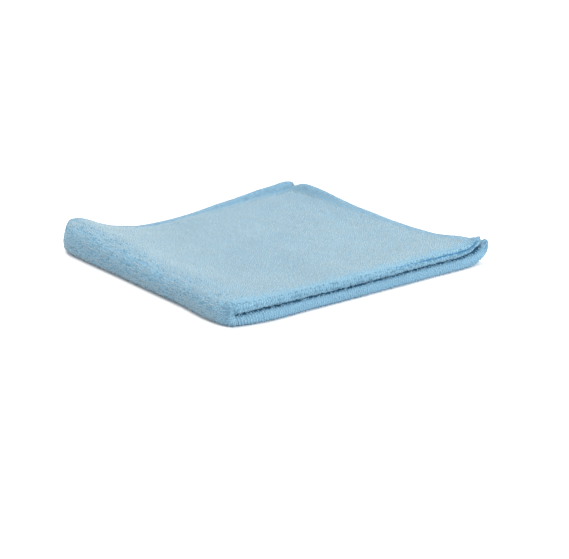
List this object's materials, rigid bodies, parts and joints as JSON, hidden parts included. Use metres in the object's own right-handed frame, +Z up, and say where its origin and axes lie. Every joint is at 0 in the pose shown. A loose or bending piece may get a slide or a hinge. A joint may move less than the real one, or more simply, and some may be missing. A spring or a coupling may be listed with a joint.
{
  "type": "folded microfibre cloth",
  "caption": "Soft square cleaning cloth of looped fabric, folded in quarters and lying flat, with one thick rolled fold, one double fold and open hems on the other sides.",
  "frame": {"origin": "centre of the cloth's outline, on the surface it rests on", "axes": "+Z up; the thick rolled fold runs along Y on the -X side, the double fold runs along X on the -Y side, and the open hems face +X and +Y"},
  "size_m": [0.2104, 0.2052, 0.0201],
  "materials": {
    "cloth": "matt light blue looped microfibre with a soft pale sheen"
  },
  "bodies": {
    "root": {"cloth": "cloth"}
  },
  "joints": []
}
